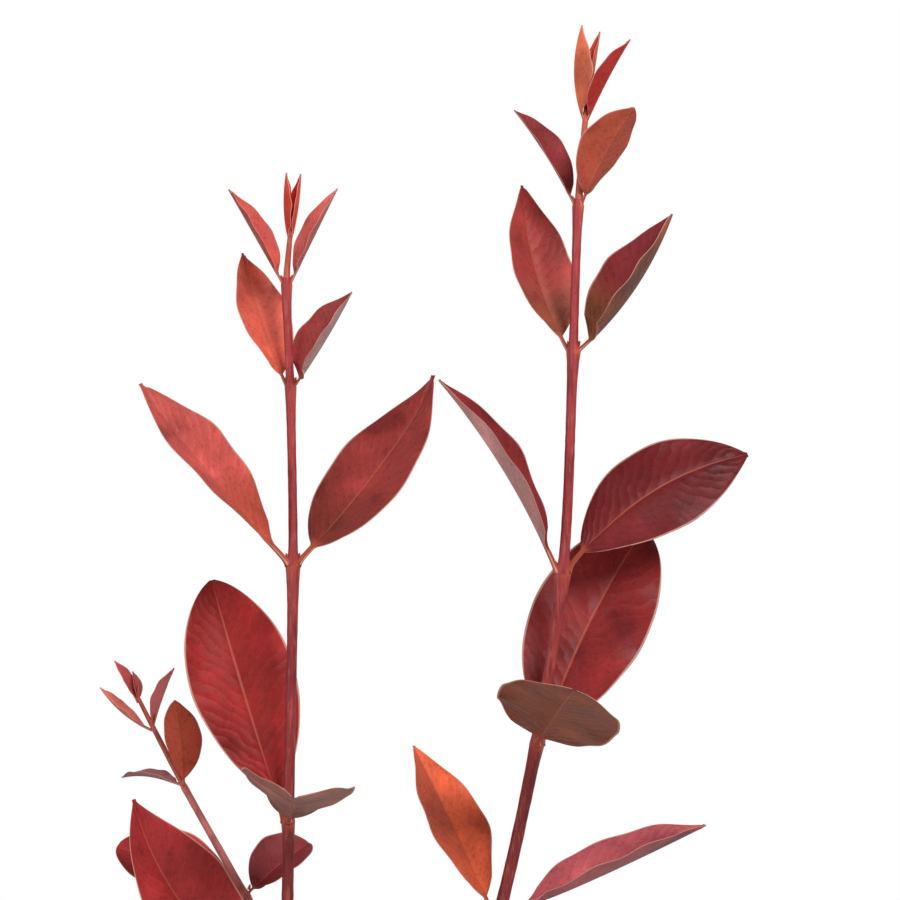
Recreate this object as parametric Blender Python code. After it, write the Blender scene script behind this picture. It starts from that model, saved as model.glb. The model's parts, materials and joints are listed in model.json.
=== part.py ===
"""A young lilly pilly, rooted in the ground: two stems on one woody foot, a side shoot on the shorter stem,
and leaves in opposite pairs, up to the small unfolding leaves at each tip.

The model is in metres, +Z up. Its origin is the middle of the flat cut at ground level, +X runs to the right
and +Y to the back. The sizes below are in millimetres and degrees.
"""

import math

import bmesh
import bpy
from mathutils import Quaternion, Vector

MM = 0.001
GAP = 0.3
UP = Vector((0, 0, 1))
GROUND = (0.0, 0.0, 0.0)

# The woody foot flares at the ground, and forks into two arms that each carry a stem.
FLARE_RADIUS = 5.6
FLARE_POWER = 3
FOOT_RINGS = (0.0, 0.1, 0.22, 0.38, 0.6, 0.82, 1.0)
SECOND_ARM_SUNK = 3.2
SECOND_ARM_RADIUS = 2.7

# A stem thins slowly at first. Each leaf pair grows from a swelling, wider by this share, which starts well
# below the pair and ends just above it.
TAPER_POWER = 1.7
SWELLING = 0.35
SWELLING_BELOW = 9.0
SWELLING_ABOVE = 1.6
RINGS_BETWEEN = 3

# How a leaf's other sizes follow from its length, and where its sections are, as shares of stalk and blade.
STALK_SHARE = 0.1
STALK_RADIUS_SHARE = 0.0115
STALK_RISE = 55
STALK_BEND = 0.06
THICKNESS_SHARE = 0.0125
TIP_SHARE = 0.67
RIB_SHARE = 0.8
ROOT_FADE = 4
DRIP_POWER = 6
DIRECTION_STEP = 0.01
TIP_HALF_WIDTH = 0.3
SMALL_LEAF_ROOT = 1.5
BLADE_RINGS = (0.05, 0.15, 0.28, 0.43, 0.58, 0.73, 0.87, 0.96, 1.0)
TIP_BLADE_RINGS = (0.12, 0.3, 0.5, 0.72, 0.9, 1.0)

# Every section has eight corners, from one edge of a blade over its upper side to the other edge and back.
CORNERS = 8
ACROSS_BLADE = (1, 0.5, 0, -0.5, -1, -0.5, 0, 0.5)
ABOVE_BLADE = (0, 0.5, 0.5, 0.5, 0, -0.5, -0.5, -0.5)
FOLD_POWER = 1.25
SHARP_FROM = math.radians(50)
ROUGHNESS = 0.4

BARK = (0.13, 0.055, 0.045)
STEM = (0.24, 0.06, 0.065)
GROWN_LEAF = (0.33, 0.04, 0.035)
BRONZE_LEAF = (0.24, 0.07, 0.035)
NEW_LEAF = (0.42, 0.07, 0.045)


def leaf(turn, rise, length, width, roll=0, twist=0, fold=22, arch=0.05, sway=0, base=0.85, point=0.9,
         drip=0.3, colour=GROWN_LEAF):
    """The sizes of one leaf.

    turn and rise aim it: the compass turn from +X towards +Y, and the slope above the horizon.
    length runs from the middle of the stem to the tip, and width is across the flattened blade.
    roll turns the blade about its length, twist turns the tip further, and fold raises each half.
    arch bows the blade towards its upper side and sway to one side, as shares of the length.
    base and point say how slowly the outline widens from the stalk and closes again, and drip how far its tip
    is drawn out.
    """
    return dict(turn=turn, rise=rise, length=length, width=width, roll=roll, twist=twist, fold=fold, arch=arch,
                sway=sway, base=base, point=point, drip=drip, colour=colour)


# Each stem from its foot up: the places of its nodes, and the pair of leaves on each of them.
TALL_STEM = dict(
    name="tall_stem",
    start=(4.4, 0.0, 16.8),
    start_radius=1.95,
    end_radius=1.1,
    nodes=(
        ((21.0, 3.0, 53.0), dict(
            front=leaf(-115, 16, 46, 23, roll=-6, fold=14, arch=0.08, colour=BRONZE_LEAF),
            back=leaf(50, 22, 48, 24, roll=8, fold=16, arch=0.09, colour=BRONZE_LEAF))),
        ((35.0, 4.0, 94.0), dict(
            left=leaf(155, 33, 56, 27, roll=-8, fold=14, arch=0.06, colour=BRONZE_LEAF),
            right=leaf(-25, 26, 58, 28, roll=12, fold=12, arch=0.07, colour=BRONZE_LEAF))),
        ((47.3, 3.0, 135.0), dict(
            left=leaf(142, 56, 55, 22, roll=-8, fold=12, arch=0.01, colour=BRONZE_LEAF),
            right=leaf(20, 19, 68, 22, roll=4, fold=34, arch=-0.01))),
        ((57.7, 0.0, 183.5), dict(
            front=leaf(-82, 20, 61, 34, roll=-22, fold=-2, arch=0.03, base=0.5, point=0.5, drip=0.05,
                       colour=BRONZE_LEAF),
            back=leaf(34, 57, 72, 34, roll=48, fold=6, sway=0.035, arch=0.03, base=0.62, point=0.62, drip=0.1))),
        ((65.1, -2.0, 231.8), dict(
            left=leaf(-174, 57, 64, 26, roll=-22, fold=27, arch=0.04),
            right=leaf(14, 31, 64, 28, roll=55, fold=-4, arch=0.08, sway=0.07, base=0.85, point=0.75))),
        ((67.9, -3.0, 293.4), dict(
            left=leaf(140, 69, 51, 23.5, roll=-12, fold=16, arch=-0.08),
            right=leaf(-8, 54, 47, 26, roll=28, fold=43, arch=-0.07, base=0.65))),
        ((69.4, -3.0, 334.0), dict(
            left=leaf(155, 55, 34, 14, roll=-10, fold=26, arch=0.03, colour=NEW_LEAF),
            right=leaf(-39, 54, 32, 17, roll=-14, fold=18, arch=0.05, point=0.75, drip=0.1, colour=NEW_LEAF))),
    ),
    tip_radius=0.8,
    tip=(
        ((71.4, -2.0, 358.6), (
            leaf(190, 88, 26, 11, fold=36, arch=-0.09),
            leaf(-28, 57, 25, 12, roll=10, fold=26, arch=0.02),
            leaf(28, 79, 25, 5, fold=40, arch=0))),
    ),
)
SHORT_STEM = dict(
    name="short_stem",
    start=(-1.6, 0.0, 16.8),
    start_radius=1.85,
    end_radius=1.0,
    nodes=(
        ((-6.2, 0.5, 39.2), dict(
            front=leaf(-142, 14, 44, 22, roll=6, fold=14, arch=0.08, colour=BRONZE_LEAF),
            back=leaf(44, 20, 45, 21, roll=-6, fold=16, arch=0.08, colour=BRONZE_LEAF))),
        ((-9.5, 0.0, 75.6), dict(
            front=leaf(-78, 20, 55, 27, roll=8, fold=12, arch=0.07, colour=BRONZE_LEAF),
            back=leaf(104, 28, 57, 27, roll=-8, fold=12, arch=0.06, colour=BRONZE_LEAF))),
        ((-11.7, -1.0, 115.2), dict(
            left=leaf(-171, 51.5, 69, 31, roll=-57, fold=24, arch=-0.08, sway=0.075),
            right=leaf(-8, 20, 58, 30, roll=10, fold=14, arch=0.05, colour=BRONZE_LEAF))),
        ((-11.6, 0.0, 162.0), dict(
            front=leaf(-85, 14, 61, 34, roll=-12, fold=24, arch=0.02, base=0.65, point=0.6, drip=0.1,
                       colour=BRONZE_LEAF),
            back=leaf(133, 62, 75, 32, roll=-27, fold=14, arch=-0.035, base=0.8, point=0.66, drip=0.1))),
        ((-10.4, 1.0, 234.0), dict(
            left=leaf(-168, 49, 66, 27, roll=-20, twist=-30, fold=18, arch=-0.01, drip=0.5),
            right=leaf(22, 49.5, 69, 29, roll=29, fold=8, arch=-0.03, base=0.7, drip=0.62))),
        ((-11.3, 2.0, 283.6), dict(
            left=leaf(140, 64, 43, 18, roll=-12, fold=18, arch=-0.04),
            right=leaf(-12, 56, 32, 20, roll=36, fold=40, arch=-0.02, base=0.55))),
        ((-12.3, 2.0, 312.4), dict(
            left=leaf(168, 58, 32, 11, roll=-12, fold=36, arch=0, colour=NEW_LEAF),
            right=leaf(14, 62, 31, 11, roll=12, fold=30, arch=0, colour=NEW_LEAF))),
    ),
    tip_radius=0.7,
    tip=(
        ((-11.4, 3.0, 326.0), (
            leaf(180, 87, 18, 6, fold=36, arch=-0.05),
            leaf(20, 80, 18, 5.5, fold=36, arch=-0.03))),
    ),
)
SIDE_SHOOT = dict(
    name="side_shoot",
    carrier_node=3,
    start_above=4.5,
    start_radius=1.2,
    end_radius=0.9,
    nodes=(
        ((-24.7, 10.0, 139.6), dict(
            left=leaf(172, 19, 39.5, 22, roll=-40, fold=10, base=0.7, point=0.6, drip=0.1),
            right=leaf(35, 31, 25, 18, roll=25, fold=26, base=0.7, point=0.6, drip=0.1))),
        ((-43.6, 28.0, 167.6), dict(
            left=leaf(150, 4, 23, 8, fold=30, arch=0.1),
            right=leaf(-105, 73, 27.5, 13, roll=-4, fold=14, point=0.8, drip=0.15))),
    ),
    tip_radius=0.6,
    tip=(
        ((-53.9, 34.0, 185.2), (
            leaf(-164, 37, 19, 9, roll=-15, fold=20, arch=-0.07),
            leaf(38, 65, 18, 7, fold=30, arch=0.03))),
        ((-58.2, 36.0, 193.0), (
            leaf(170, 56, 13, 6, roll=-15, fold=16, arch=0.03),
            leaf(140, 72, 8, 4, fold=34, arch=0.03))),
    ),
)


def heading(turn, rise):
    """The direction with this compass turn and slope."""
    turn, rise = math.radians(turn), math.radians(rise)
    return Vector((math.cos(turn) * math.cos(rise), math.sin(turn) * math.cos(rise), math.sin(rise)))


def across(direction, towards):
    """The unit vector square to direction that leans towards another vector."""
    return (towards - direction * towards.dot(direction)).normalized()


def way(route, index):
    """The direction in which the smooth curve passes the route's point of that index."""
    return (route[min(index + 1, len(route) - 1)] - route[max(index - 1, 0)]).normalized()


def on_route(route, index, distance):
    """The place and the direction on the smooth curve through route, this far past its point of that index."""
    start, end = route[index], route[index + 1]
    span = (end - start).length
    leave, arrive = way(route, index) * span, way(route, index + 1) * span
    t = distance / span
    place = (start + leave * t + (3 * (end - start) - 2 * leave - arrive) * t ** 2
             + (2 * (start - end) + leave + arrive) * t ** 3)
    direction = (leave + 2 * (3 * (end - start) - 2 * leave - arrive) * t
                 + 3 * (2 * (start - end) + leave + arrive) * t ** 2)
    return place, direction.normalized()


def round_section(centre, direction, upper, radius):
    """The corners of a round section, square to direction."""
    side = upper.cross(direction)
    turns = (2 * math.pi * corner / CORNERS for corner in range(CORNERS))
    return [centre + (side * math.cos(turn) + upper * math.sin(turn)) * radius for turn in turns]


def solid(name, sections, colour):
    """A closed solid from end to end of sections, as an object in metres with its own material."""
    shape = bmesh.new()
    rings = [[shape.verts.new(corner * MM) for corner in section] for section in sections]
    for ring, following in zip(rings, rings[1:]):
        for corner in range(CORNERS):
            beside = (corner + 1) % CORNERS
            shape.faces.new((ring[corner], ring[beside], following[beside], following[corner]))
    shape.faces.new(rings[0])
    shape.faces.new(rings[-1])
    bmesh.ops.recalc_face_normals(shape, faces=shape.faces)
    mesh = bpy.data.meshes.new(name)
    shape.to_mesh(mesh)
    shape.free()
    piece = bpy.data.objects.new(name, mesh)
    bpy.context.scene.collection.objects.link(piece)

    finish = bpy.data.materials.new(name)
    finish.use_nodes = True
    principled = finish.node_tree.nodes["Principled BSDF"]
    principled.inputs["Base Color"].default_value = (*colour, 1)
    principled.inputs["Roughness"].default_value = ROUGHNESS
    principled.inputs["Metallic"].default_value = 0
    mesh.materials.append(finish)
    return piece


def fuse(pieces):
    """Join pieces that are sunk into each other to one solid, under the first one's name."""
    kept, *others = pieces
    sunk = bpy.data.collections.new(kept.name)
    bpy.context.scene.collection.children.link(sunk)
    for piece in others:
        bpy.context.scene.collection.objects.unlink(piece)
        sunk.objects.link(piece)
    union = kept.modifiers.new("Union", "BOOLEAN")
    union.operation = "UNION"
    union.operand_type = "COLLECTION"
    union.collection = sunk
    bpy.context.view_layer.objects.active = kept
    bpy.ops.object.modifier_apply(modifier=union.name)
    for piece in others:
        bpy.data.objects.remove(piece)
    bpy.data.collections.remove(sunk)


def half_width(sizes, u):
    """Half the flattened blade's width, a share u of the way from the stalk to the tip."""
    base, point = sizes["base"], sizes["point"]
    widest = base / (base + point)
    shape = (u / widest) ** base * ((1 - u) / (1 - widest)) ** point
    return max(sizes["width"] / 2 * shape * (1 - sizes["drip"] * u ** DRIP_POWER), TIP_HALF_WIDTH)


def leaf_solid(name, node, clearance, sizes, blade_rings):
    """A leaf on a curved stalk: a folded blade, thick at the rib and thin at the edges.

    Its foot faces the stem, this far from the stem's middle. A leaf with no clearance is sunk into its twig.
    """
    outwards = heading(sizes["turn"], 0)
    chord = heading(sizes["turn"], sizes["rise"])
    foot = node + (outwards * clearance if clearance else -UP * SMALL_LEAF_ROOT)
    reach = node + chord * sizes["length"] - foot
    length, along = reach.length, reach.normalized()
    upper = Quaternion(along, math.radians(sizes["roll"])) @ across(along, UP)
    side = upper.cross(along)
    lead = heading(sizes["turn"], STALK_RISE) if clearance else along
    radius = STALK_RADIUS_SHARE * sizes["length"]
    thickness = THICKNESS_SHARE * sizes["length"]
    fold = math.radians(sizes["fold"])

    def midrib(s):
        bow = 4 * s * (1 - s)
        bend = (lead - along) * s * math.exp(-s / STALK_BEND)
        return foot + length * (along * s + (upper * sizes["arch"] + side * sizes["sway"]) * bow + bend)

    def section(s):
        direction = (midrib(min(s + DIRECTION_STEP, 1)) - midrib(max(s - DIRECTION_STEP, 0))).normalized()
        if s == 0:
            direction = outwards if clearance else along
        turned = Quaternion(direction, math.radians(sizes["twist"] * s)) @ across(direction, upper)
        u = (s - STALK_SHARE) / (1 - STALK_SHARE)
        if u <= 0:
            return round_section(midrib(s), direction, turned, radius)
        wide = half_width(sizes, u)
        thick = max(thickness * (1 - (1 - TIP_SHARE) * u), 2 * radius * (1 - ROOT_FADE * u))
        corners = []
        for part, above in zip(ACROSS_BLADE, ABOVE_BLADE):
            rib = RIB_SHARE * thick * (1 - u) if part == 0 and above < 0 else 0
            lift = wide * math.sin(fold) * abs(part) ** FOLD_POWER + above * thick - rib
            corners.append(midrib(s) + turned.cross(direction) * part * wide * math.cos(fold) + turned * lift)
        return corners

    shares = [0, STALK_SHARE / 2, STALK_SHARE] + [STALK_SHARE + u * (1 - STALK_SHARE) for u in blade_rings]
    return solid(name, [section(s) for s in shares], sizes["colour"])


def limb_solid(name, route, stations, colour):
    """A round limb along route, through stations of (index, distance past that point, radius)."""
    sections = []
    for index, distance, radius in stations:
        place, direction = on_route(route, index, distance)
        sections.append(round_section(place, direction, across(direction, Vector((0, -1, 0))), radius))
    return solid(name, sections, colour)


def route_of(sizes, before, start):
    """The points that a stem runs through: one before its foot, its foot, its nodes and its tip."""
    upwards = [place for place, _ in sizes["nodes"] + sizes["tip"]]
    return [Vector(point) for point in (before, start, *upwards)]


def radius_at(sizes, route, index, distance=0):
    """The stem's radius between its swellings, this far past its route's point of that index."""
    spans = [(end - start).length for start, end in zip(route, route[1:])]
    share = min((sum(spans[1:index]) + distance) / sum(spans[1:len(sizes["nodes"]) + 1]), 1)
    return sizes["end_radius"] + (sizes["start_radius"] - sizes["end_radius"]) * (1 - share ** TAPER_POWER)


def stem(sizes, route):
    """A stem with a swelling at each leaf node, from its foot to just above its last pair."""
    nodes = len(sizes["nodes"])
    stations = [(1, 0, sizes["start_radius"])]
    for index in range(1, nodes + 1):
        span = (route[index + 1] - route[index]).length
        step = (span - SWELLING_BELOW) / (RINGS_BETWEEN + 1)
        distances = [between * step for between in range(1, RINGS_BETWEEN + 2)]
        if index > 1:
            distances.insert(0, SWELLING_ABOVE)
        stations += [(index, distance, radius_at(sizes, route, index, distance)) for distance in distances]
        stations.append((index, span, radius_at(sizes, route, index, span) * (1 + SWELLING)))
    stations.append((nodes + 1, SWELLING_ABOVE, sizes["end_radius"]))
    limb_solid(sizes["name"], route, stations, STEM)


def leaves(sizes, route):
    """The leaf pairs along a stem, each leaf a solid of its own, seated on the stem's swellings."""
    for number, (place, pair) in enumerate(sizes["nodes"]):
        clearance = radius_at(sizes, route, number + 2) * (1 + SWELLING) + GAP
        for side, leaf_sizes in pair.items():
            name = f"{sizes['name']}_leaf_{number + 1}_{side}"
            leaf_solid(name, Vector(place), clearance, leaf_sizes, BLADE_RINGS)


def tip_foliage(sizes, route):
    """The thin twig above a stem's last pair, with the small leaves that grow from it, fused."""
    index = len(sizes["nodes"]) + 1
    stations = [(index, SWELLING_ABOVE + GAP, sizes["end_radius"])]
    pieces = []
    for number, (place, small_leaves) in enumerate(sizes["tip"]):
        span = (route[index + number + 1] - route[index + number]).length
        share = (number + 1) / len(sizes["tip"])
        thin = sizes["end_radius"] + (sizes["tip_radius"] - sizes["end_radius"]) * share
        stations += [(index + number, span / 2, thin), (index + number, span, thin)]
        for order, leaf_sizes in enumerate(small_leaves):
            pieces.append(leaf_solid(f"leaf_{number}_{order}", Vector(place), 0, leaf_sizes, TIP_BLADE_RINGS))
    fuse([limb_solid(f"{sizes['name']}_tip_foliage", route, stations, NEW_LEAF)] + pieces)


def trunk():
    """The woody foot: one arm to each stem's foot, level at the ground and fused where they meet."""
    arms = []
    for name, sizes, sunk, wide in (
            ("trunk", TALL_STEM, 0, FLARE_RADIUS),
            ("second_arm", SHORT_STEM, SECOND_ARM_SUNK, SECOND_ARM_RADIUS)):
        start = Vector(sizes["start"])
        route = [Vector((start.x, start.y, -start.z)), Vector(), start, Vector(sizes["nodes"][0][0])]
        length = start.length - GAP - sunk
        narrow = sizes["start_radius"]
        stations = [(1, sunk + length * share, narrow + (wide - narrow) * (1 - share) ** FLARE_POWER)
                    for share in FOOT_RINGS]
        arms.append(limb_solid(name, route, stations, BARK))
    fuse(arms)


def side_shoot_route(carrier, carrier_route):
    """The side shoot's route: level out of its carrier, a little above a leaf pair, and then upwards."""
    index = SIDE_SHOOT["carrier_node"] + 1
    node, first = carrier_route[index], Vector(SIDE_SHOOT["nodes"][0][0])
    above = SIDE_SHOOT["start_above"]
    place, _ = on_route(carrier_route, index, above)
    outwards = Vector((first.x - node.x, first.y - node.y, 0)).normalized()
    start = place + outwards * (radius_at(carrier, carrier_route, index, above) + GAP)
    return route_of(SIDE_SHOOT, Vector((node.x, node.y, first.z)), start)


for left_over in list(bpy.data.objects):
    bpy.data.objects.remove(left_over)

tall_route = route_of(TALL_STEM, GROUND, TALL_STEM["start"])
short_route = route_of(SHORT_STEM, GROUND, SHORT_STEM["start"])
side_route = side_shoot_route(SHORT_STEM, short_route)
trunk()
for sizes, route in ((TALL_STEM, tall_route), (SHORT_STEM, short_route), (SIDE_SHOOT, side_route)):
    stem(sizes, route)
    leaves(sizes, route)
    tip_foliage(sizes, route)
for piece in bpy.data.objects:
    piece.data.shade_smooth()
    piece.data.set_sharp_from_angle(angle=SHARP_FROM)
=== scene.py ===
"""A young lilly pilly with red and bronze leaves in opposite pairs, on two stems from one woody foot.

Sizes are in millimetres and degrees, and MM turns them into the scene's metres. +Z is up, +X runs to the
right and +Y to the back. The origin is the middle of the foot's flat cut at ground level.
"""

import math

import bpy
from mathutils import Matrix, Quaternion, Vector, noise
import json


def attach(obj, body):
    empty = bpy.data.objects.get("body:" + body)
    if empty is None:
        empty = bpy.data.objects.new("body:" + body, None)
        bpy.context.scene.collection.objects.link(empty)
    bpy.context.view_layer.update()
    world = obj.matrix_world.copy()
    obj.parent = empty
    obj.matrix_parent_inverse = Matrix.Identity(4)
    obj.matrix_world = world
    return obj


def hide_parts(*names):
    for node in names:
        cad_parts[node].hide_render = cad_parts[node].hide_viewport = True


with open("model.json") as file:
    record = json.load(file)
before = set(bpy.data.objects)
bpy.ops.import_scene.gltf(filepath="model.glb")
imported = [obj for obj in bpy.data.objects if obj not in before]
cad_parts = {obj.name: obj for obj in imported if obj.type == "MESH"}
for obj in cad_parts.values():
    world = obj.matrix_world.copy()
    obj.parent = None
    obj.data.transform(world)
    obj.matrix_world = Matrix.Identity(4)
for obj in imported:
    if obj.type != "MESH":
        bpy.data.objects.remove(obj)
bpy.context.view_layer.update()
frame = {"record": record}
bpy.ops.object.select_all(action="DESELECT")

# Room
# A level camera looks at the two crowns and leaves the foot out of its view. The air round the plant is
# white and lights the plant weakly, a broad soft light stands at the upper right, a weaker one at the left,
# and a pale disc lies under the foot.
AIR_ON_PLANT = 0.38
AIR_IN_VIEW = 1.0
LIGHTS_AIM = Vector((0.03, 0, 0.24))

camera_data = bpy.data.cameras.new("camera")
camera_data.lens = 100
camera_data.sensor_width = 36
camera_data.clip_start = 0.05
camera = bpy.data.objects.new("camera", camera_data)
camera.location = (0.0336, -0.70, 0.266)
camera.rotation_euler = (math.radians(90), 0, 0)
bpy.context.scene.collection.objects.link(camera)
bpy.context.scene.camera = camera
bpy.context.scene.view_settings.view_transform = "Standard"

world = bpy.data.worlds.new("air")
bpy.context.scene.world = world
world.use_nodes = True
air = world.node_tree
seen = air.nodes.new("ShaderNodeLightPath")
strength = air.nodes.new("ShaderNodeMix")
strength.inputs["A"].default_value = AIR_ON_PLANT
strength.inputs["B"].default_value = AIR_IN_VIEW
air.links.new(seen.outputs["Is Camera Ray"], strength.inputs["Factor"])
air.nodes["Background"].inputs["Color"].default_value = (1, 1, 1, 1)
air.links.new(strength.outputs["Result"], air.nodes["Background"].inputs["Strength"])

for name, place, size, power in (
        ("key", (0.55, -0.95, 1.0), 0.5, 12.0),
        ("fill", (-0.9, -0.7, 0.5), 0.7, 3.0)):
    lamp = bpy.data.lights.new(name, "AREA")
    lamp.size = size
    lamp.energy = power
    light = bpy.data.objects.new(name, lamp)
    light.location = place
    light.rotation_euler = (LIGHTS_AIM - Vector(place)).to_track_quat("-Z", "Y").to_euler()
    bpy.context.scene.collection.objects.link(light)


def new_look(name, roughness):
    """A new material, with its nodes and its main shader."""
    look = bpy.data.materials.new(name)
    look.use_nodes = True
    principled = look.node_tree.nodes["Principled BSDF"]
    principled.inputs["Roughness"].default_value = roughness
    return look, look.node_tree, principled


bpy.ops.mesh.primitive_circle_add(vertices=96, radius=0.24, fill_type="NGON", location=(0.03, 0, -0.0006))
floor = bpy.context.object
floor.name = "floor"
floor_look, _, principled = new_look("floor", 0.7)
principled.inputs["Base Color"].default_value = (0.78, 0.77, 0.75, 1)
floor.data.materials.append(floor_look)


# Leaf skin
# One node group colours every leaf: the two faces, a tint at the base, painted shade on the left half, a pale
# rim, partly the margin's own paler colour and partly painted light on the edge, the midrib, and side veins
# that sweep towards the tip, with the puckers between them.
def tint(red, green, blue):
    """The colour as the shader reads it, from the 0 to 255 levels of a screen."""
    def level(value):
        share = value / 255
        return share / 12.92 if share <= 0.04045 else ((share + 0.055) / 1.055) ** 2.4
    return (level(red), level(green), level(blue), 1)


FULL_GROWN = 60
VEIN_POWER = 1.5
SIDE_VEINS = 15
VEIN_SWEEP = 3.4
VEIN_WANDER = 2.6
# The Left tint is painted shade: a darker colour for the half of the blade that faces away from the key
# light.
LEAF_TINTS = ("Upper", "Base", "Left", "Under")
# The rim tint is the pale rim: partly the margin's own paler colour and partly painted light on the rounded
# edge.
RIB_TINT, STALK_TINT, RIM_TINT_AND_EDGE_LIGHT = tint(196, 104, 78), tint(186, 84, 58), tint(232, 166, 150)
LIGHTER, DARKER = (1.5, 1.45, 1.5, 1), (0.62, 0.55, 0.6, 1)
PALER, SPECKED = (1.35, 1.5, 1.4, 1), (0.8, 0.75, 0.75, 1)

skin = bpy.data.node_groups.new("LeafSkin", "ShaderNodeTree")
for socket in LEAF_TINTS:
    skin.interface.new_socket(socket, in_out="INPUT", socket_type="NodeSocketColor")
skin.interface.new_socket("Veins", in_out="INPUT", socket_type="NodeSocketFloat")
for socket, kind in (("Color", "Color"), ("Roughness", "Float"), ("Height", "Float")):
    skin.interface.new_socket(socket, in_out="OUTPUT", socket_type="NodeSocket" + kind)
given = skin.nodes.new("NodeGroupInput")
result = skin.nodes.new("NodeGroupOutput")


def math_node(tree, operation, first, second=None, third=None):
    """A Math node of that operation, whose inputs are sockets or numbers. Returns its output."""
    made = tree.nodes.new("ShaderNodeMath")
    made.operation = operation
    for place, value in enumerate((first, second, third)):
        if isinstance(value, bpy.types.NodeSocket):
            tree.links.new(value, made.inputs[place])
        elif value is not None:
            made.inputs[place].default_value = value
    return made.outputs[0]


def times(tree, value, factor):
    """The product of a value and a factor."""
    return math_node(tree, "MULTIPLY", value, factor)


def rising(tree, value, low, high):
    """0 where value is below low, 1 where it is above high, and a smooth step between."""
    made = tree.nodes.new("ShaderNodeMapRange")
    made.interpolation_type = "SMOOTHSTEP"
    tree.links.new(value, made.inputs["Value"])
    made.inputs["From Min"].default_value = low
    made.inputs["From Max"].default_value = high
    return made.outputs["Result"]


def falling(tree, value, low, high):
    """1 where value is below low, 0 where it is above high, and a smooth step between."""
    return math_node(tree, "SUBTRACT", 1.0, rising(tree, value, low, high))


def blend(tree, share, first, second, mode="MIX"):
    """A Mix node for colours. share, first and second are sockets, numbers or colours."""
    made = tree.nodes.new("ShaderNodeMix")
    made.data_type = "RGBA"
    made.blend_type = mode
    for socket, value in ((made.inputs[0], share), (made.inputs[6], first), (made.inputs[7], second)):
        if isinstance(value, bpy.types.NodeSocket):
            tree.links.new(value, socket)
        else:
            socket.default_value = value
    return made.outputs[2]


def shade(tree, share, colour, factor):
    """The colour, multiplied by a factor as far as share says."""
    return blend(tree, share, colour, blend(tree, 1.0, colour, factor, "MULTIPLY"))


def noise_node(tree, place, scale, detail):
    """A Noise Texture on a place. Returns its value output."""
    made = tree.nodes.new("ShaderNodeTexNoise")
    made.inputs["Scale"].default_value = scale
    made.inputs["Detail"].default_value = detail
    tree.links.new(place, made.inputs["Vector"])
    return made.outputs["Fac"]


def add_relief(tree, height, strength, distance):
    """Gives a material a fine relief that follows a height."""
    relief = tree.nodes.new("ShaderNodeBump")
    relief.inputs["Strength"].default_value = strength
    relief.inputs["Distance"].default_value = distance
    tree.links.new(height, relief.inputs["Height"])
    tree.links.new(relief.outputs["Normal"], tree.nodes["Principled BSDF"].inputs["Normal"])


leaf_map = skin.nodes.new("ShaderNodeUVMap")
leaf_map.uv_map = "leaf"
parts = skin.nodes.new("ShaderNodeSeparateXYZ")
skin.links.new(leaf_map.outputs["UV"], parts.inputs["Vector"])
along, over = parts.outputs["X"], parts.outputs["Y"]
upper_side = skin.nodes.new("ShaderNodeAttribute")
upper_side.attribute_name = "upper_side"
place = skin.nodes.new("ShaderNodeTexCoord").outputs["Object"]
off_rib = math_node(skin, "ABSOLUTE", math_node(skin, "MULTIPLY_ADD", over, 2.0, -1.0))
wander = noise_node(skin, place, 95, 3)
patches = noise_node(skin, place, 75, 4)
grain = noise_node(skin, place, 900, 3)
sweep = math_node(skin, "MULTIPLY_ADD", off_rib, -VEIN_SWEEP, times(skin, along, SIDE_VEINS))
sweep = math_node(skin, "MULTIPLY_ADD", wander, VEIN_WANDER, sweep)
wave = math_node(skin, "ABSOLUTE", math_node(skin, "SINE", times(skin, sweep, math.pi)))
vein = falling(skin, wave, 0.03, 0.3)
rib = falling(skin, off_rib, 0.01, 0.03)
rim = rising(skin, off_rib, 0.955, 0.985)
on_stalk = falling(skin, along, 0.0, 0.05)
at_base = falling(skin, along, 0.12, 0.5)
# Painted shade: the left half of the blade is mixed towards the darker Left tint.
shaded_left_half = rising(skin, over, 0.47, 0.53)
colour = blend(skin, times(skin, shaded_left_half, 0.9), given.outputs["Upper"], given.outputs["Left"])
colour = blend(skin, times(skin, at_base, 0.75), colour, given.outputs["Base"])
colour = blend(skin, upper_side.outputs["Fac"], given.outputs["Under"], colour)
colour = shade(skin, rising(skin, patches, 0.5, 0.75), colour, LIGHTER)
colour = shade(skin, rising(skin, patches, 0.5, 0.28), colour, DARKER)
colour = shade(skin, times(skin, times(skin, vein, given.outputs["Veins"]), 0.4), colour, PALER)
colour = shade(skin, rising(skin, grain, 0.52, 0.7), colour, SPECKED)
colour = blend(skin, times(skin, rib, 0.5), colour, RIB_TINT)
colour = blend(skin, times(skin, on_stalk, 0.8), colour, STALK_TINT)
# Pale rim: partly the margin's own colour and partly painted light on the edge.
colour = blend(skin, times(skin, rim, 0.85), colour, RIM_TINT_AND_EDGE_LIGHT)
skin.links.new(colour, result.inputs["Color"])
skin.links.new(math_node(skin, "MULTIPLY_ADD", patches, 0.35, 0.3), result.inputs["Roughness"])
height = math_node(skin, "MULTIPLY_ADD", wave, 0.45, times(skin, grain, 0.3))
height = times(skin, math_node(skin, "MULTIPLY_ADD", rib, -0.6, height), given.outputs["Veins"])
skin.links.new(height, result.inputs["Height"])


def maturity(sizes):
    """1 for a full-grown leaf, and less for a shorter one."""
    return min(sizes["length"] / FULL_GROWN, 1)


def leaf_look(name, sizes):
    """A leaf's material: the leaf skin in that leaf's own four tints. A small leaf has faint veins."""
    look, tree, principled = new_look(name, 0.5)
    group = tree.nodes.new("ShaderNodeGroup")
    group.node_tree = skin
    for socket in LEAF_TINTS:
        group.inputs[socket].default_value = tint(*sizes["tints"][socket.lower()])
    group.inputs["Veins"].default_value = maturity(sizes) ** VEIN_POWER
    add_relief(tree, group.outputs["Height"], 0.5, 0.0004)
    tree.links.new(group.outputs["Color"], principled.inputs["Base Color"])
    tree.links.new(group.outputs["Roughness"], principled.inputs["Roughness"])
    principled.inputs["Specular IOR Level"].default_value = 0.22
    return look


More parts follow.
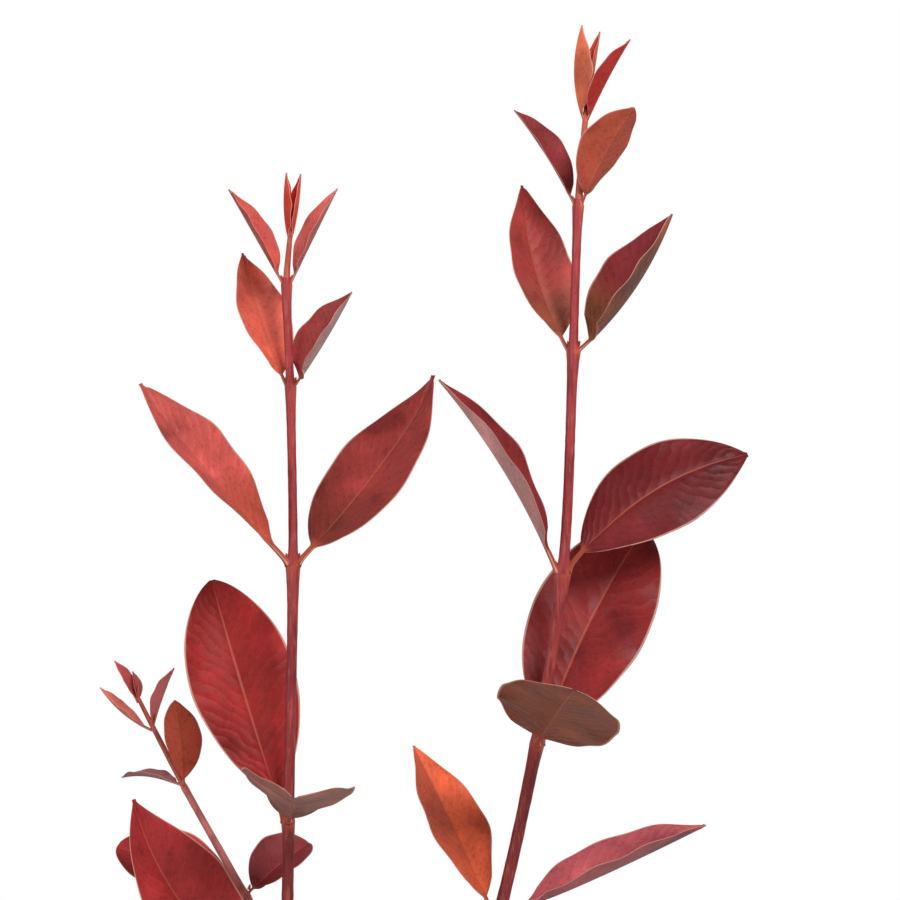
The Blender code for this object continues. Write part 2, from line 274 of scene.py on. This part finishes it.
# Leaf shape
# Every leaf follows the same rule from its own sizes: a curved stalk, a folded blade whose half width follows
# one curve, a rib below and a groove above, a wavy margin, and puckers between the side veins. It is made as
# a closed shell, and stands in place of its own solid.
MM = 0.001
UP = Vector((0, 0, 1))
ALONG_STEPS = 84
ACROSS_STEPS = 11
DIRECTION_STEP = 0.01
BLADE_THICKNESS = 0.3
LEAST_HALF_WIDTH = 0.12
DRIP_POWER = 6
HOOK_POWER = 7
FOLD_POWER = 1.25
STALK_SHARE = 0.1
STALK_RADIUS_SHARE = 0.0115
THINNEST_STALK = 0.4
STALK_RISE = 55
STALK_BEND = 0.06
STALK_FLARE = 0.9
FLARE_REACH = 0.016
TUFT_SINK = 1.5
ROUND_REACH = 0.1
STALK_WIDTH_SHARE = 0.9
RELIEF_FROM = 1
CURL_HEIGHT = 1.1
CURL_ALONG, CURL_ACROSS = 4.5, 0.9
CURL_APART = 7.3
RIPPLE_HEIGHT = 0.32
RIPPLE_RATE = 24
RIPPLE_SHIFT = 2
PUCKER_HEIGHT = 0.08
PUCKER_CHANGE = 0.26
PUCKER_ALONG, PUCKER_ACROSS = 9, 2.5
PUCKER_APART = 3.1
PUCKER_SHIFT = 4
GROOVE_DEPTH = 0.25
GROOVE_WIDTH = 0.5
RIB_DEPTH_SHARE = 0.75
RIB_WIDTH_SHARE = 0.7
RIB_FADE = 0.8


def leaf(turn, rise, length, width, roll=0, twist=0, fold=22, arch=0.05, sway=0, base=0.85, point=0.9,
         drip=0.3, upper=(152, 48, 45), under=(145, 85, 66), bottom=None, left=None, wavy=1.0, hook=0):
    """The sizes and tints of one leaf, measured as in its solid.

    turn and rise give its course, base and point the fullness of its two ends, and drip draws out its tip.
    arch and sway bow it upwards and sideways, and hook bends the tip aside, as shares of its length.
    wavy scales the ripple of its margin. bottom is the tint of its base, and left is the tint of its left
    half, a painted shade darker than the rest of the blade.
    """
    # The left tint is painted shade on the left half of the blade.
    tints = dict(upper=upper, under=under, base=bottom or upper, left=left or upper)
    return dict(turn=turn, rise=rise, length=length, width=width, roll=roll, twist=twist, fold=fold,
                arch=arch, sway=sway, base=base, point=point, drip=drip, tints=tints, wavy=wavy, hook=hook)


def heading(turn, rise):
    """The direction with this compass turn and slope."""
    turn, rise = math.radians(turn), math.radians(rise)
    return Vector((math.cos(turn) * math.cos(rise), math.sin(turn) * math.cos(rise), math.sin(rise)))


def square_to(direction, towards):
    """The unit vector square to direction that leans towards another vector."""
    return (towards - direction * towards.dot(direction)).normalized()


def half_width(sizes, u):
    """Half the flattened blade's width, a share u of the way from the stalk to the tip."""
    base, point = sizes["base"], sizes["point"]
    widest = base / (base + point)
    shape = (u / widest) ** base * ((1 - u) / (1 - widest)) ** point
    return max(sizes["width"] / 2 * shape * (1 - sizes["drip"] * u ** DRIP_POWER), LEAST_HALF_WIDTH)


def blade_relief(sizes, seed, s, u, part):
    """How far the blade leaves its plain shape: a slow curl, a rippled margin, and puckers between veins.

    s runs along the leaf, u along its blade, and part from -1 to 1 across it.
    """
    grown = maturity(sizes)
    curl = noise.noise(Vector((seed * CURL_APART, s * CURL_ALONG, part * CURL_ACROSS)))
    curl *= CURL_HEIGHT * sizes["wavy"] * grown
    phase = s * RIPPLE_RATE + seed + (RIPPLE_SHIFT if part > 0 else 0)
    ripple = math.sin(phase) * RIPPLE_HEIGHT * abs(part) ** 3 * sizes["wavy"] * grown
    sweep = (u * SIDE_VEINS - VEIN_SWEEP * abs(part)) * math.pi
    uneven = noise.noise(Vector((seed * PUCKER_APART, s * PUCKER_ALONG, part * PUCKER_ACROSS)))
    pucker = abs(math.sin(sweep + uneven * PUCKER_SHIFT)) * max(PUCKER_HEIGHT + PUCKER_CHANGE * uneven, 0)
    pucker *= grown ** VEIN_POWER * (1 - abs(part) ** 4) * min(abs(part) * 5, 1)
    return curl * abs(part) + ripple + pucker


def rib_relief(sizes, stalk, across, u, face):
    """The groove above the midrib where face is 1, and the rib below it where face is -1."""
    if face > 0:
        return -GROOVE_DEPTH * maturity(sizes) * math.exp(-(across / GROOVE_WIDTH) ** 2)
    depth = RIB_DEPTH_SHARE * stalk * (1 - RIB_FADE * u)
    return -depth * math.exp(-(across / (stalk * RIB_WIDTH_SHARE)) ** 2)


def add_leaf(shell, node, clearance, sizes, seed):
    """Adds a leaf to a shell, a dict of points, faces, map places and upper sides.

    Its foot stands off the node by the clearance. With none it is sunk into the end of a twig.
    """
    outwards = heading(sizes["turn"], 0)
    foot = node + (outwards * clearance if clearance else -UP * TUFT_SINK)
    reach = node + heading(sizes["turn"], sizes["rise"]) * sizes["length"] - foot
    length, along = reach.length, reach.normalized()
    upper = Quaternion(along, math.radians(sizes["roll"])) @ square_to(along, UP)
    side = upper.cross(along)
    lead = heading(sizes["turn"], STALK_RISE) if clearance else along
    stalk = max(STALK_RADIUS_SHARE * sizes["length"], THINNEST_STALK)
    fold = math.radians(sizes["fold"])

    def midrib(s):
        bow = 4 * s * (1 - s)
        bend = (lead - along) * s * math.exp(-s / STALK_BEND)
        curve = upper * sizes["arch"] * bow + side * (sizes["sway"] * bow + sizes["hook"] * s ** HOOK_POWER)
        return foot + length * (along * s + curve + bend)

    half = [0.5 + 0.5 * math.cos(math.pi * step / ACROSS_STEPS) for step in range(ACROSS_STEPS)]
    over = half + [0] + [-part for part in reversed(half)]
    ring = [(part, 1) for part in over] + [(part, -1) for part in reversed(over[1:-1])]
    start = len(shell["points"])
    for step in range(ALONG_STEPS + 1):
        s = step / ALONG_STEPS
        direction = (midrib(min(s + DIRECTION_STEP, 1)) - midrib(max(s - DIRECTION_STEP, 0))).normalized()
        turned = Quaternion(direction, math.radians(sizes["twist"] * s)) @ square_to(direction, upper)
        level = turned.cross(direction)
        u = max((s - STALK_SHARE) / (1 - STALK_SHARE), 0)
        spread = half_width(sizes, u) if u > 0 else 0
        stem_end = stalk * (1 + STALK_FLARE * math.exp(-s / FLARE_REACH) * bool(clearance))
        wide = max(spread, stem_end * STALK_WIDTH_SHARE)
        roundness = max(1 - u / ROUND_REACH, 0)
        flatness = 1 - roundness
        for part, face in ring:
            relief = blade_relief(sizes, seed, s, u, part) * (spread > RELIEF_FROM)
            relief += rib_relief(sizes, stalk, part * wide, u, face)
            rim = math.sqrt(max(1 - part * part, 0))
            thickness = face * (BLADE_THICKNESS / 2 * rim ** 0.5 * flatness + stem_end * rim * roundness)
            lift = wide * math.sin(fold) * abs(part) ** FOLD_POWER * flatness
            point = midrib(s) + level * part * wide * (1 + (math.cos(fold) - 1) * flatness)
            shell["points"].append(point + turned * (lift + thickness + relief * flatness))
            shell["places"].append((u, (part + 1) / 2))
            shell["uppers"].append(1.0 if face > 0 else 0.0)
    count = len(ring)
    for row in range(ALONG_STEPS):
        for corner in range(count):
            beside = (corner + 1) % count
            low, high = start + row * count, start + (row + 1) * count
            shell["faces"].append((low + corner, high + corner, high + beside, low + beside))
    shell["faces"].append(tuple(start + corner for corner in range(count)))
    last = start + ALONG_STEPS * count
    shell["faces"].append(tuple(last + corner for corner in reversed(range(count))))


def new_shell():
    """An empty shell."""
    return dict(points=[], faces=[], places=[], uppers=[])


def finish_shell(shell, looks, node, slot):
    """The shell as a smooth object in metres that stands for a CAD node."""
    name = node + "_fine"
    mesh = bpy.data.meshes.new(name)
    mesh.from_pydata([point * MM for point in shell["points"]], [], shell["faces"])
    mapped = mesh.uv_layers.new(name="leaf")
    for corner in mesh.loops:
        mapped.data[corner.index].uv = shell["places"][corner.vertex_index]
    side = mesh.attributes.new("upper_side", "FLOAT", "POINT")
    side.data.foreach_set("value", shell["uppers"])
    mesh.shade_smooth()
    for look in looks:
        mesh.materials.append(look)
    piece = bpy.data.objects.new(name, mesh)
    bpy.context.scene.collection.objects.link(piece)
    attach(piece, "root")
    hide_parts(node)
    return piece


# Stem look
# The young ends are pinkish red and the old parts dark purple brown. A node is orange where the stalks leave
# it, and fine specks and long streaks run down the bark.
PURPLE_DARK = (0.62, 0.55, 0.62, 1)
STREAK_TINT, SPECK_TINT, NODE_TINT = tint(196, 104, 96), tint(72, 30, 34), tint(212, 104, 62)


def stretched_place(tree, squeeze):
    """The piece's own place, and the same squeezed along its height, for marks that run up and down."""
    place = tree.nodes.new("ShaderNodeTexCoord").outputs["Object"]
    stretched = tree.nodes.new("ShaderNodeMapping")
    stretched.inputs["Scale"].default_value = (1, 1, squeeze)
    tree.links.new(place, stretched.inputs["Vector"])
    return place, stretched.outputs["Vector"]


def bark_look(name, old, young, low, high):
    """Bark from the old tint, at the height low, to the young one, at the height high, in metres."""
    look, tree, principled = new_look(name, 0.42)
    place, stretched = stretched_place(tree, 0.12)
    parts = tree.nodes.new("ShaderNodeSeparateXYZ")
    tree.links.new(place, parts.inputs["Vector"])
    streaks = noise_node(tree, stretched, 1500, 3)
    specks = noise_node(tree, place, 1700, 4)
    blotches = noise_node(tree, stretched, 420, 3)
    at_node = tree.nodes.new("ShaderNodeAttribute")
    at_node.attribute_name = "upper_side"
    colour = blend(tree, rising(tree, parts.outputs["Z"], low, high), tint(*old), tint(*young))
    colour = shade(tree, rising(tree, blotches, 0.48, 0.68), colour, PURPLE_DARK)
    colour = blend(tree, times(tree, rising(tree, streaks, 0.5, 0.7), 0.5), colour, STREAK_TINT)
    colour = blend(tree, times(tree, rising(tree, specks, 0.6, 0.72), 0.5), colour, SPECK_TINT)
    colour = blend(tree, times(tree, at_node.outputs["Fac"], 0.7), colour, NODE_TINT)
    tree.links.new(colour, principled.inputs["Base Color"])
    principled.inputs["Specular IOR Level"].default_value = 0.28
    add_relief(tree, streaks, 0.35, 0.0003)
    return look


stem_look = bark_look("stem_bark", (124, 44, 44), (174, 64, 66), 0.06, 0.3)

# Stem shape
# A stem runs smoothly through its nodes and thins upwards. Below a pair two ridges run down from the stalks
# and the stem widens towards them, and a pointed bud sits in the angle above each stalk.
TAPER_POWER = 1.7
STEM_CORNERS = 28
RINGS_A_MILLIMETRE = 1.2
KNOT_SHARE = 0.16
RIDGE_SHARE_BELOW = 0.558
RIDGE_SHARE_ABOVE = 0.54
REACH_BELOW = 7.0
REACH_ABOVE = 1.6
TINT_BELOW = 1.8
TINT_ABOVE = 1.0
RIDGE_POWER = 6
TINT_POWER = 4
UNEVEN_SHARE = 0.05
UNEVEN_RATE = 0.35
CAP_RINGS = 4
CAP_STEP = 0.6
BUD_RISE = 72
BUD_LENGTH = 1.7
BUD_RADIUS = 0.5
BUD_OUT, BUD_UP = 1.12, 1.2
BUD_CORNERS = 10
BUD_POINT = 0.03


def route_of(sizes, before, start):
    """The points that a stem runs through: one before its foot, its foot, its nodes and its tip."""
    upwards = [place for place, _ in sizes["nodes"] + sizes["tip"]]
    return [Vector(point) for point in (before, start, *upwards)]


def way(route, index):
    """The direction in which the smooth curve passes the route's point of that index."""
    return (route[min(index + 1, len(route) - 1)] - route[max(index - 1, 0)]).normalized()


def on_route(route, index, distance):
    """The place and the direction on the route's smooth curve, this far past its point of that index."""
    start, end = route[index], route[index + 1]
    span = (end - start).length
    leave, arrive = way(route, index) * span, way(route, index + 1) * span
    t = distance / span
    square, cube = 3 * (end - start) - 2 * leave - arrive, 2 * (start - end) + leave + arrive
    direction = leave + 2 * square * t + 3 * cube * t ** 2
    return start + leave * t + square * t ** 2 + cube * t ** 3, direction.normalized()


def radius_at(sizes, route, index, distance=0):
    """The stem's radius between its swellings, this far past its route's point of that index."""
    spans = [(end - start).length for start, end in zip(route, route[1:])]
    share = min((sum(spans[1:index]) + distance) / sum(spans[1:len(sizes["nodes"]) + 1]), 1)
    return sizes["end_radius"] + (sizes["start_radius"] - sizes["end_radius"]) * (1 - share ** TAPER_POWER)


def even(value):
    """A radius or an orange share that is the same all round."""
    return lambda spoke: value


def add_tube(shell, rings, corners):
    """Adds a closed tube through rings of (place, direction, radius, orange share), both on each spoke."""
    start = len(shell["points"])
    for centre, direction, radius, orange in rings:
        front = square_to(direction, Vector((0, -1, 0)))
        side = front.cross(direction)
        for corner in range(corners):
            turn = 2 * math.pi * corner / corners
            spoke = side * math.cos(turn) + front * math.sin(turn)
            shell["points"].append(centre + spoke * radius(spoke))
            shell["places"].append((0, corner / corners))
            shell["uppers"].append(orange(spoke))
    for row in range(len(rings) - 1):
        for corner in range(corners):
            beside = (corner + 1) % corners
            low, high = start + row * corners, start + (row + 1) * corners
            shell["faces"].append((low + corner, low + beside, high + beside, high + corner))
    shell["faces"].append(tuple(start + corner for corner in reversed(range(corners))))
    last = start + (len(rings) - 1) * corners
    shell["faces"].append(tuple(last + corner for corner in range(corners)))


def add_bud(shell, place, direction, length, radius):
    """Adds a small pointed bud."""
    rings = []
    for share in (0, 0.2, 0.45, 0.7, 0.88, 1):
        wide = radius * (1 - share ** 2) * (0.75 + 0.5 * share) + BUD_POINT
        rings.append((place + direction * length * share, direction, even(wide), even(0.0)))
    add_tube(shell, rings, BUD_CORNERS)


def stem_ring(sizes, route, index, distance, span, coming, left):
    """One ring of a stem: round, and wider towards the stalks of the pair it comes to and the one it left."""
    place, direction = on_route(route, index, distance)
    plain = radius_at(sizes, route, index, distance)
    to_go = max(span - distance, 0)
    near_next, near_last = math.exp(-to_go / REACH_BELOW), math.exp(-distance / REACH_ABOVE)
    ridges = [(heading(given["turn"], 0), RIDGE_SHARE_BELOW * near_next) for given in coming.values()]
    ridges += [(heading(given["turn"], 0), RIDGE_SHARE_ABOVE * near_last) for given in left.values()]
    knot = KNOT_SHARE * (near_next * bool(coming) + near_last * bool(left))
    uneven = noise.noise(place * UNEVEN_RATE) * UNEVEN_SHARE
    tinted = math.exp(-to_go / TINT_BELOW) * bool(coming) + math.exp(-distance / TINT_ABOVE) * bool(left)

    def radius(spoke):
        ridge = sum(share * max(spoke.dot(out), 0) ** RIDGE_POWER for out, share in ridges)
        return plain * (1 + knot + ridge + uneven)

    def orange(spoke):
        return min(tinted * sum(max(spoke.dot(out), 0) ** TINT_POWER for out, _ in ridges), 1.0)
    return place, direction, radius, orange


def make_stem(sizes, route):
    """A stem in full with its buds, in place of its solid."""
    shell = new_shell()
    rings = []
    pairs = [{}] + [pair for _, pair in sizes["nodes"]]
    for index in range(1, len(pairs)):
        span = (route[index + 1] - route[index]).length
        count = int(span * RINGS_A_MILLIMETRE)
        for step in range(count):
            distance = span * step / count
            rings.append(stem_ring(sizes, route, index, distance, span, pairs[index], pairs[index - 1]))
    for step in range(CAP_RINGS):
        rings.append(stem_ring(sizes, route, len(pairs), step * CAP_STEP, 0, {}, pairs[-1]))
    add_tube(shell, rings, STEM_CORNERS)
    for number, (place, pair) in enumerate(sizes["nodes"]):
        radius = radius_at(sizes, route, number + 2)
        for leaf_sizes in pair.values():
            outwards = heading(leaf_sizes["turn"], 0)
            seat = Vector(place) + outwards * radius * BUD_OUT + UP * radius * BUD_UP
            add_bud(shell, seat, heading(leaf_sizes["turn"], BUD_RISE), BUD_LENGTH, BUD_RADIUS)
    finish_shell(shell, [sizes["look"]], sizes["name"], "stem")


# Pairs and tips
# The two leaves of a pair stand on opposite sides of a node, each with its stalk seated on the stem. Above
# the last pair a thin twig carries the smallest leaves, which are one piece with it.
STALK_REACH = 0.35
GAP = 0.3
STALK_SINK = 0.9
TWIG_STEPS = 24
TWIG_CORNERS = 16
TIP_BUD_RISE = 86
TIP_BUD_LENGTH = 4.5
TIP_BUD_SINK = 0.5
slot_of = {row["node"]: row["material_slot"] for row in frame["record"]["subparts"]}
young_look = bark_look("young_bark", (196, 92, 72), (206, 100, 76), 0.1, 0.4)


def make_leaves(sizes, route):
    """The leaf pairs of a stem, each leaf in place of its own solid, with its stalk sunk into the stem."""
    for number, (place, pair) in enumerate(sizes["nodes"]):
        clearance = radius_at(sizes, route, number + 2) * (1 + STALK_REACH) + GAP
        for side, leaf_sizes in pair.items():
            node = f"{sizes['name']}_leaf_{number + 1}_{side}"
            shell = new_shell()
            seed = number * 2 + len(side) + len(sizes["name"]) * 3
            add_leaf(shell, Vector(place), clearance - STALK_SINK, leaf_sizes, seed)
            finish_shell(shell, [leaf_look(node, leaf_sizes)], node, slot_of[node])


def make_tip(sizes, route):
    """The thin twig above a stem's last pair, its end bud and its small leaves, in place of their solid."""
    shell = new_shell()
    rings = []
    first = len(sizes["nodes"]) + 1
    thick, thin = sizes["end_radius"], sizes["tip_radius"]
    for number in range(len(sizes["tip"])):
        index = first + number
        span = (route[index + 1] - route[index]).length
        for step in range(TWIG_STEPS + 1):
            centre, direction = on_route(route, index, max(span * step / TWIG_STEPS, 0.01))
            wide = thick + (thin - thick) * (number + step / TWIG_STEPS) / len(sizes["tip"])
            rings.append((centre, direction, even(wide), even(0.0)))
    add_tube(shell, rings, TWIG_CORNERS)
    for place, _ in sizes["tip"]:
        add_bud(shell, Vector(place) - UP * TIP_BUD_SINK, heading(90, TIP_BUD_RISE), TIP_BUD_LENGTH, thin)
    looks = [young_look]
    marks = [0] * len(shell["faces"])
    for number, (place, small_leaves) in enumerate(sizes["tip"]):
        for order, leaf_sizes in enumerate(small_leaves):
            looks.append(leaf_look(f"{sizes['name']}_tip_{number}_{order}", leaf_sizes))
            add_leaf(shell, Vector(place), 0, leaf_sizes, number * 3 + order)
            marks += [len(looks) - 1] * (len(shell["faces"]) - len(marks))
    piece = finish_shell(shell, looks, sizes["name"] + "_tip_foliage", "new_leaf")
    piece.data.polygons.foreach_set("material_index", marks)


def grow(sizes, route):
    """A stem with all that it carries."""
    make_stem(sizes, route)
    make_leaves(sizes, route)
    make_tip(sizes, route)


# Tall stem
# The right stem leans a little and then stands upright. Its lower pairs are dusky bronze, the wide pairs in
# the middle deep red, and the young ones at the top orange and pink. It grows from the foot's right arm.
BRONZE = dict(upper=(124, 62, 48), under=(142, 92, 70))
TALL_STEM = dict(
    name="tall_stem",
    look=stem_look,
    start=(4.4, 0.0, 16.8),
    start_radius=1.95,
    end_radius=1.1,
    nodes=(
        ((21.0, 3.0, 53.0), dict(
            front=leaf(-115, 16, 46, 23, roll=-6, fold=14, arch=0.08, **BRONZE),
            back=leaf(50, 22, 48, 24, roll=8, fold=16, arch=0.09, **BRONZE))),
        ((35.0, 4.0, 94.0), dict(
            left=leaf(155, 33, 56, 27, roll=-8, fold=14, arch=0.06, **BRONZE),
            right=leaf(-25, 26, 58, 28, roll=12, fold=12, arch=0.07, **BRONZE))),
        ((47.3, 3.0, 135.0), dict(
            # This leaf's left tint is painted shade on the left half of its blade.
            left=leaf(142, 56, 55, 22, roll=-8, fold=12, arch=0.01,
                      upper=(232, 100, 62), under=(215, 112, 70), left=(196, 86, 62)),
            right=leaf(20, 19, 68, 22, roll=4, fold=34, arch=-0.01,
                       upper=(182, 84, 90), under=(178, 92, 94)))),
        ((57.7, 0.0, 183.5), dict(
            front=leaf(-82, 20, 61, 34, roll=-22, fold=-2, arch=0.03, base=0.5, point=0.5, drip=0.05,
                       upper=(140, 60, 50), under=(146, 84, 62)),
            back=leaf(34, 57, 72, 34, roll=48, fold=6, sway=0.035, arch=0.03, base=0.62, point=0.62,
                      drip=0.1, wavy=2, upper=(140, 38, 38), under=(140, 70, 60)))),
        ((65.1, -2.0, 231.8), dict(
            left=leaf(-174, 57, 64, 21, roll=-17, fold=30, arch=0.04,
                      upper=(132, 36, 38), under=(206, 150, 146)),
            right=leaf(14, 31, 64, 28, roll=55, fold=-4, arch=0.08, sway=0.07, base=0.85, point=0.75,
                       upper=(110, 26, 28), under=(140, 84, 70)))),
        ((67.9, -3.0, 293.4), dict(
            left=leaf(140, 69, 51, 23.5, roll=-12, fold=16, arch=-0.08,
                      upper=(170, 62, 56), bottom=(146, 82, 58), under=(155, 70, 60)),
            right=leaf(-8, 54, 47, 26, roll=26, fold=35, arch=-0.07, base=0.65,
                       upper=(140, 42, 46), bottom=(130, 85, 52), under=(146, 82, 60)))),
        ((69.4, -3.0, 334.0), dict(
            left=leaf(155, 55, 34, 14, roll=-10, fold=26, arch=0.03,
                      upper=(138, 44, 46), under=(156, 66, 60)),
            # This leaf's left tint is painted shade on the left half of its blade.
            right=leaf(-39, 54, 32, 17, roll=-14, fold=18, arch=0.05, point=0.75, drip=0.1,
                       upper=(180, 76, 62), under=(196, 88, 66), left=(150, 60, 50)))),
    ),
    tip_radius=0.8,
    tip=(
        ((71.4, -2.0, 358.6), (
            leaf(190, 88, 26, 12.5, fold=36, arch=-0.09, upper=(232, 104, 82), under=(240, 122, 86)),
            leaf(-28, 57, 25, 12, roll=10, fold=26, arch=0.02, upper=(206, 62, 56), under=(198, 58, 50)),
            leaf(28, 79, 25, 7, fold=40, arch=0, upper=(226, 96, 70), under=(226, 104, 76)))),
    ),
)
tall_route = route_of(TALL_STEM, (0, 0, 0), TALL_STEM["start"])
grow(TALL_STEM, tall_route)

# Short stem
# The left stem is of the same young wood and stands almost upright. It grows from the foot's left arm, and a
# side shoot leaves it a little above its third pair.
SHORT_STEM = dict(
    name="short_stem",
    look=stem_look,
    start=(-1.6, 0.0, 16.8),
    start_radius=1.85,
    end_radius=1.0,
    nodes=(
        ((-6.2, 0.5, 39.2), dict(
            front=leaf(-142, 14, 44, 22, roll=6, fold=14, arch=0.08, **BRONZE),
            back=leaf(44, 20, 45, 21, roll=-6, fold=16, arch=0.08, **BRONZE))),
        ((-9.5, 0.0, 75.6), dict(
            front=leaf(-78, 20, 55, 27, roll=8, fold=12, arch=0.07, **BRONZE),
            back=leaf(104, 28, 57, 27, roll=-8, fold=12, arch=0.06, **BRONZE))),
        ((-11.7, -1.0, 115.2), dict(
            left=leaf(-171, 51.5, 69, 31, roll=-57, fold=24, arch=-0.08, sway=0.075,
                      upper=(170, 50, 50), under=(150, 80, 66)),
            right=leaf(-8, 20, 58, 30, roll=10, fold=14, arch=0.05,
                       upper=(150, 66, 56), under=(150, 84, 70)))),
        ((-11.6, 0.0, 162.0), dict(
            front=leaf(-85, 14, 61, 34, roll=-12, fold=24, arch=0.02, base=0.65, point=0.6, drip=0.1,
                       upper=(140, 60, 54), under=(168, 112, 98)),
            back=leaf(133, 62, 75, 32, roll=-27, fold=14, arch=-0.035, base=0.8, point=0.66, drip=0.1,
                      upper=(152, 34, 31), under=(150, 74, 62)))),
        ((-10.4, 1.0, 234.0), dict(
            left=leaf(-168, 49, 66, 27, roll=-20, twist=-30, fold=18, arch=-0.01, drip=0.5, hook=-0.04,
                      upper=(200, 86, 78), bottom=(186, 78, 54), under=(180, 96, 82)),
            right=leaf(22, 49.5, 69, 29, roll=29, fold=8, arch=-0.03, base=0.7, drip=0.62, hook=0.05,
                       upper=(154, 56, 52), bottom=(122, 50, 38), under=(160, 92, 80)))),
        ((-11.3, 2.0, 283.6), dict(
            left=leaf(140, 64, 43, 18, roll=-12, fold=18, arch=-0.04,
                      upper=(226, 100, 80), under=(214, 104, 84)),
            right=leaf(-12, 56, 32, 20, roll=34, fold=31, arch=-0.02, base=0.55,
                       upper=(158, 62, 60), under=(205, 160, 154)))),
        ((-12.3, 2.0, 312.4), dict(
            left=leaf(168, 58, 32, 11, roll=-12, fold=36, arch=0,
                      upper=(198, 78, 68), under=(190, 84, 72)),
            right=leaf(14, 62, 31, 11, roll=12, fold=30, arch=0,
                       upper=(222, 110, 104), under=(214, 108, 98)))),
    ),
    tip_radius=0.7,
    tip=(
        ((-11.4, 3.0, 326.0), (
            leaf(180, 87, 18, 7, fold=34, arch=-0.05, upper=(216, 70, 56), under=(214, 76, 58)),
            leaf(20, 80, 18, 6.5, fold=34, arch=-0.03, upper=(222, 80, 64), under=(218, 82, 64)))),
    ),
)
short_route = route_of(SHORT_STEM, (0, 0, 0), SHORT_STEM["start"])
grow(SHORT_STEM, short_route)

# Side shoot
# A thin shoot of paler, softer bark leaves the short stem to the upper left and back, with two pairs and a
# tuft of small leaves. Its foot is sunk a little into the stem that carries it.
SIDE_SHOOT = dict(
    name="side_shoot",
    look=bark_look("shoot_bark", (184, 96, 92), (216, 126, 118), 0.12, 0.19),
    carrier_node=3,
    start_above=4.5,
    sink=0.6,
    start_radius=1.2,
    end_radius=0.9,
    nodes=(
        ((-24.7, 10.0, 139.6), dict(
            left=leaf(172, 19, 39.5, 22, roll=-40, fold=10, base=0.7, point=0.6, drip=0.1,
                      upper=(168, 46, 48)),
            right=leaf(35, 31, 25, 18, roll=25, fold=26, base=0.7, point=0.6, drip=0.1,
                       upper=(134, 44, 46)))),
        ((-43.6, 28.0, 167.6), dict(
            left=leaf(150, 4, 23, 8, fold=24, arch=0.08, upper=(176, 104, 108), under=(170, 108, 114)),
            right=leaf(-105, 73, 27.5, 12.5, roll=-4, fold=14, point=0.8, drip=0.15,
                       upper=(196, 84, 60), under=(196, 80, 56)))),
    ),
    tip_radius=0.6,
    tip=(
        ((-53.9, 34.0, 185.2), (
            leaf(-164, 37, 19, 9, roll=-15, fold=20, arch=-0.07,
                 upper=(214, 110, 98), under=(216, 120, 106)),
            leaf(38, 65, 18, 7, fold=30, arch=0.03, upper=(200, 106, 104), under=(206, 112, 108)))),
        ((-58.2, 36.0, 193.0), (
            leaf(170, 56, 13, 6, roll=-15, fold=16, arch=0.03, upper=(196, 84, 84), under=(196, 90, 86)),
            leaf(140, 72, 8, 4, fold=34, arch=0.03, upper=(176, 74, 72), under=(180, 82, 80)))),
    ),
)
carrier_index = SIDE_SHOOT["carrier_node"] + 1
carrier, first = short_route[carrier_index], Vector(SIDE_SHOOT["nodes"][0][0])
leaving, _ = on_route(short_route, carrier_index, SIDE_SHOOT["start_above"])
outwards = Vector((first.x - carrier.x, first.y - carrier.y, 0)).normalized()
shoot_start = leaving + outwards * (radius_at(SHORT_STEM, short_route, carrier_index) - SIDE_SHOOT["sink"])
grow(SIDE_SHOOT, route_of(SIDE_SHOOT, (carrier.x, carrier.y, first.z), shoot_start))

# Woody foot
# Two arms part from one flared foot, cut flat at the ground. Its old bark is dark brown with shallow furrows
# along the grain.
FOOT_STEPS = 40
FOOT_CORNERS = 64
FOOT_RIDGES = 5
FLARE_SHARE = 0.12
FURROW_SHARE = 0.09
foot_look, tree, principled = new_look("foot_bark", 0.75)
_, stretched = stretched_place(tree, 0.2)
grain = noise_node(tree, stretched, 1100, 5)
colour = blend(tree, rising(tree, grain, 0.35, 0.65), tint(64, 40, 34), tint(124, 84, 68))
tree.links.new(colour, principled.inputs["Base Color"])
add_relief(tree, grain, 0.6, 0.0006)


def foot_ring(centre, direction, plain, to_go):
    """One ring of an arm: round, with ridges where it flares out and furrows in its bark."""
    def radius(spoke):
        furrow = noise.noise(Vector((spoke.x * 4, spoke.y * 4, centre.z * 0.25))) * FURROW_SHARE
        flare = FLARE_SHARE * math.cos(FOOT_RIDGES * math.atan2(spoke.y, spoke.x)) * to_go ** 2
        return plain * (1 + furrow * to_go + flare)
    return centre, direction, radius, even(0.0)


foot_shell = new_shell()
for sizes, route, wide in ((TALL_STEM, tall_route, 5.6), (SHORT_STEM, short_route, 3.6)):
    start = Vector(sizes["start"])
    arm_route = [Vector((start.x, start.y, -start.z)), Vector(), start, route[2]]
    rings = []
    for step in range(FOOT_STEPS + 1):
        share = step / FOOT_STEPS
        centre, direction = on_route(arm_route, 1, share * start.length)
        plain = sizes["start_radius"] + (wide - sizes["start_radius"]) * (1 - share) ** 3
        rings.append(foot_ring(centre, direction if step else UP, plain, 1 - share))
    add_tube(foot_shell, rings, FOOT_CORNERS)
finish_shell(foot_shell, [foot_look], "trunk", "bark")
